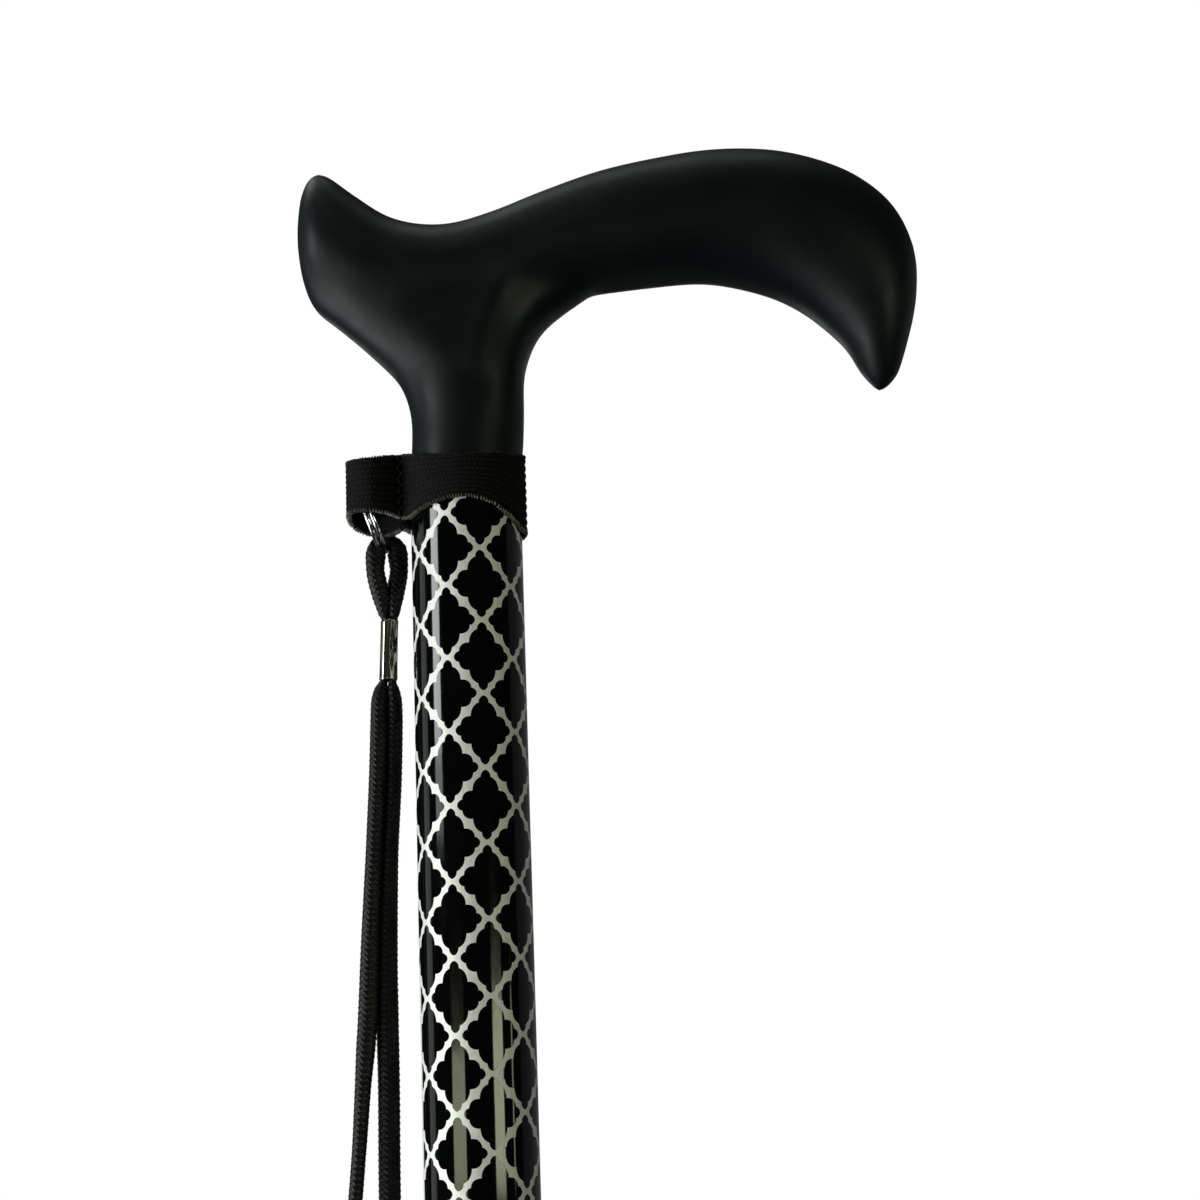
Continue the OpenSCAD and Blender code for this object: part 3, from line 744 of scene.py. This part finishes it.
# Crest of the soft ridge from the neck's right flank into the palm's lower third, as [x, height over the
# joint]
RIDGE = [[3.2, 20], [4, 26], [6, 33], [9.5, 39.8], [15, 45], [23, 48.3], [33, 50.3], [46, 51.5]]
RIDGE_HEIGHT = 0.72
RIDGE_HALF = 2.7
FIRM = 0.12  # how much squarer than an oval the sections are, at most
HANDLE_SIDES = 72
VOXEL = 0.85  # size of the one skin's faces
EASE = 0.5  # share of the way to its neighbours' mean that a point moves in each round


def relax(points, edges, rounds, share):
    """Moves each point towards the mean of its neighbours"""
    count = np.bincount(edges.ravel(), minlength=len(points))[:, None]
    for _ in range(rounds):
        total = np.zeros_like(points)
        for k in range(3):
            total[:, k] = np.bincount(edges[:, 0], points[edges[:, 1], k], len(points))
            total[:, k] += np.bincount(edges[:, 1], points[edges[:, 0], k], len(points))
        points = points + share * (total / count - points)
    return points


def palm_rings(turn):
    """Oval sections of the palm, a little squarer underneath"""
    rings = []
    for x, height, tall, wide, lean in smooth(PALM_ROWS, 6):
        share = math.exp(-(((x - 26) / 26) ** 4))
        firm = 1 + FIRM * share * (np.cos(turn) < 0) * np.sin(2 * turn) ** 2
        up = tall * np.cos(turn) * firm
        lean = math.radians(lean)
        y = -wide * np.sin(turn) * firm
        rings.append(np.stack([x + up * math.sin(lean), y, JOINT_Z + height + up * math.cos(lean)], 1))
    return rings


def neck_rings(turn):
    """Oval sections of the neck, a little squarer on the beak's side, near the palm"""
    rings = []
    for height, x, long, wide in smooth(NECK_ROWS, 6):
        share = min(1, max(0, (height - 8) / 14))
        firm = 1 + FIRM * share * (np.cos(turn) > 0) * np.sin(2 * turn) ** 2
        level = np.full(HANDLE_SIDES, JOINT_Z + height)
        rings.append(np.stack([x + long * np.cos(turn) * firm, wide * np.sin(turn) * firm, level], 1))
    return rings


def one_skin(name, parts):
    """Lofts each part's sections and makes one mesh of evenly sized faces round them all"""
    points, faces = [], []
    for rings in parts:
        start = sum(len(p) for p in points)
        faces += [[start + q for q in f] for f in capped_faces(len(rings), HANDLE_SIDES)]
        points += rings
    rough = add_mesh(name, np.concatenate(points), faces, GRIP)
    remesh = rough.modifiers.new("remesh", "REMESH")
    remesh.mode = "VOXEL"
    remesh.voxel_size = VOXEL * MM
    solid = bpy.data.meshes.new_from_object(rough.evaluated_get(bpy.context.evaluated_depsgraph_get()))
    bpy.data.objects.remove(rough)
    return solid


def read(values, key, kind, per_row):
    """One attribute of a mesh's vertices or edges, as rows of numbers"""
    made = np.zeros(len(values) * per_row, kind)
    values.foreach_get(key, made)
    return made.reshape(-1, per_row)


def raised(co, normal):
    """How far the soft ridge lifts each point"""
    crest = smooth(RIDGE, 12)
    near = np.array([np.hypot(co[:, 0] - x, co[:, 2] - JOINT_Z - h) for x, h in crest])
    where = near.argmin(axis=0) / (len(crest) - 1)
    fade = np.sin(math.pi * where**0.7) ** 0.7
    return RIDGE_HEIGHT * fade * np.exp(-((near.min(axis=0) / RIDGE_HALF) ** 2)) * np.abs(normal[:, 1])


def add_handle():
    """Palm and neck made one skin, then eased into each other"""
    turn = np.arange(HANDLE_SIDES) * TAU / HANDLE_SIDES
    solid = one_skin("handle_rough", [palm_rings(turn), neck_rings(turn)])
    co = read(solid.vertices, "co", float, 3) / MM
    edges = read(solid.edges, "vertices", int, 2)
    co = relax(co, edges, 8, EASE)
    join_height, join_half, join_reach = 36, 8, 33
    off = (co[:, 2] - JOINT_Z - join_height) / join_half
    join = np.exp(-(off**4)) * np.exp(-((co[:, 0] / join_reach) ** 6))
    co = relax(co, edges, 36, EASE * join[:, None])
    co = relax(co, edges, 6, EASE)
    solid.vertices.foreach_set("co", (co * MM).ravel())
    solid.update()
    normal = read(solid.vertices, "normal", float, 3)
    co = relax(co + raised(co, normal)[:, None] * normal, edges, 2, EASE)
    solid.vertices.foreach_set("co", (co * MM).ravel())
    solid.shade_smooth()
    solid.materials.clear()
    solid.materials.append(GRIP)
    made = bpy.data.objects.new("derby_handle", solid)
    bpy.context.scene.collection.objects.link(made)
    place(made, "upper", "handle_grip", "handle")


add_handle()


# ---------------------------------------------------------------- CAD nodes that show as they are
NODE_PAINT = {
    "upper_shaft": LATTICE, "lower_shaft": ANODISED, "collar_bush": COLLAR, "lock_nut": COLLAR,
    "clamp_olive": NYLON, "guide_cap": NYLON, "neck_spigot": NYLON, "spigot_screw": STEEL,
    "spigot_washer": STEEL, "tip_washer": STEEL, "neck_rivet": DARK_STEEL, "button_spring": SPRING,
    "snap_button": NICKEL, "rubber_tip": RUBBER,
}
for node, material in NODE_PAINT.items():
    mesh = nodes[node].data
    mesh.materials.clear()
    mesh.materials.append(material)


# ---------------------------------------------------------------- floor, backdrop and light
# What the lights are turned to, and their colours
HANDLE = Vector((0.03, 0, 0.83))
SHAFT = Vector((0, 0, 0.7))
OLIVE = (0.93, 1.0, 0.68)
COOL = (0.96, 1.0, 1.0)


def add_floor():
    """A plain pale floor under the tip, evenly bright, that takes a soft shadow"""
    p = Paint("floor", Specular_IOR_Level=0.2, Roughness=0.8)
    p.set("Base Color", p.mix(p.between(p.noise(3, 3), 0.3, 0.7), (0.15, 0.15, 0.15), (0.17, 0.17, 0.17)))
    p.set("Emission Color", (0.90, 0.90, 0.89, 1))
    p.set("Emission Strength", 0.82)
    sides, radius, drop = 96, 6000, 0.05
    turn = np.arange(sides) * TAU / sides
    points = np.stack([radius * np.cos(turn), radius * np.sin(turn), 0 * turn - drop], 1)
    floor = add_mesh("floor", points, [list(range(sides))], p.material)
    floor.visible_diffuse = floor.visible_glossy = False
    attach(floor, "lower")  # the cane stands on it at every height setting


def add_world():
    """White to the camera, and a dim room for the light that falls on the object"""
    world = bpy.data.worlds.new("studio")
    bpy.context.scene.world = world
    world.use_nodes = True
    tree = world.node_tree
    tree.nodes.clear()
    out = tree.nodes.new("ShaderNodeOutputWorld")
    path = tree.nodes.new("ShaderNodeLightPath")
    white = tree.nodes.new("ShaderNodeBackground")
    white.inputs["Color"].default_value = (1, 1, 1, 1)
    room = tree.nodes.new("ShaderNodeBackground")
    room.inputs["Color"].default_value = (0.9, 0.97, 1, 1)
    room.inputs["Strength"].default_value = 0.03
    mix = tree.nodes.new("ShaderNodeMixShader")
    tree.links.new(path.outputs["Is Camera Ray"], mix.inputs[0])
    tree.links.new(room.outputs[0], mix.inputs[1])
    tree.links.new(white.outputs[0], mix.inputs[2])
    tree.links.new(mix.outputs[0], out.inputs[0])


def add_light(name, azimuth, reach, height, size, power, color=COOL, aim=HANDLE):
    """An area light at an azimuth from the front, a level distance and a height, turned to its aim"""
    a = math.radians(azimuth)
    light = bpy.data.lights.new(name, "AREA")
    light.shape = "RECTANGLE"
    light.size, light.size_y = size
    light.energy = power
    light.color = color
    made = bpy.data.objects.new(name, light)
    made.location = (reach * math.sin(a), -reach * math.cos(a), height)
    made.rotation_mode = "QUATERNION"
    made.rotation_quaternion = (aim - made.location).to_track_quat("-Z", "Y")
    bpy.context.scene.collection.objects.link(made)


def add_lights():
    """A window on the left, low fill, soft tops, and two bright doorways that streak the gloss tube"""
    add_light("low_front_left", -60, 1.06, 0.26, (0.54, 0.54), 5.0)
    add_light("low_left", -90, 1.06, 0.26, (0.54, 0.54), 4.4)
    add_light("window", -68.5, 2.0, 1.20, (0.60, 0.32), 9.2)
    add_light("window_foot", -68.5, 2.0, 0.99, (0.60, 0.08), 0.7)
    add_light("side_left", -105, 2.0, 0.83, (0.63, 0.9), 1.7)
    add_light("rim_left", -158, 2.0, 0.55, (0.5, 0.55), 1.6)
    add_light("top", 180, 0.3, 2.8, (0.9, 0.9), 2.7)
    add_light("top_rear_left", -120, 1.15, 2.47, (0.9, 0.9), 8.0)
    add_light("top_front_left", -30, 1.15, 2.47, (0.9, 0.9), 1.6)
    add_light("door_left", -38.5, 2.0, 0.66, (0.93, 0.15), 3.2, OLIVE, SHAFT)
    add_light("door_left_top", -38.5, 2.0, 0.778, (0.93, 0.085), 0.05, OLIVE, SHAFT)
    add_light("door_right", 41.6, 2.0, 0.69, (0.70, 0.19), 4.8, OLIVE, SHAFT)
    add_light("door_right_top", 41.6, 2.0, 0.82, (0.70, 0.07), 0.1, OLIVE, SHAFT)
    add_light("door_gap", 72, 2.0, 0.70, (0.08, 0.18), 0.3, OLIVE, SHAFT)
    add_light("rear_fill", 180, 2.0, 1.35, (1.0, 0.8), 2.0)
    add_light("side_right", 130, 2.0, 0.9, (3.0, 1.6), 1.9)


add_floor()
add_world()
add_lights()
bpy.context.scene.view_settings.view_transform = "Standard"
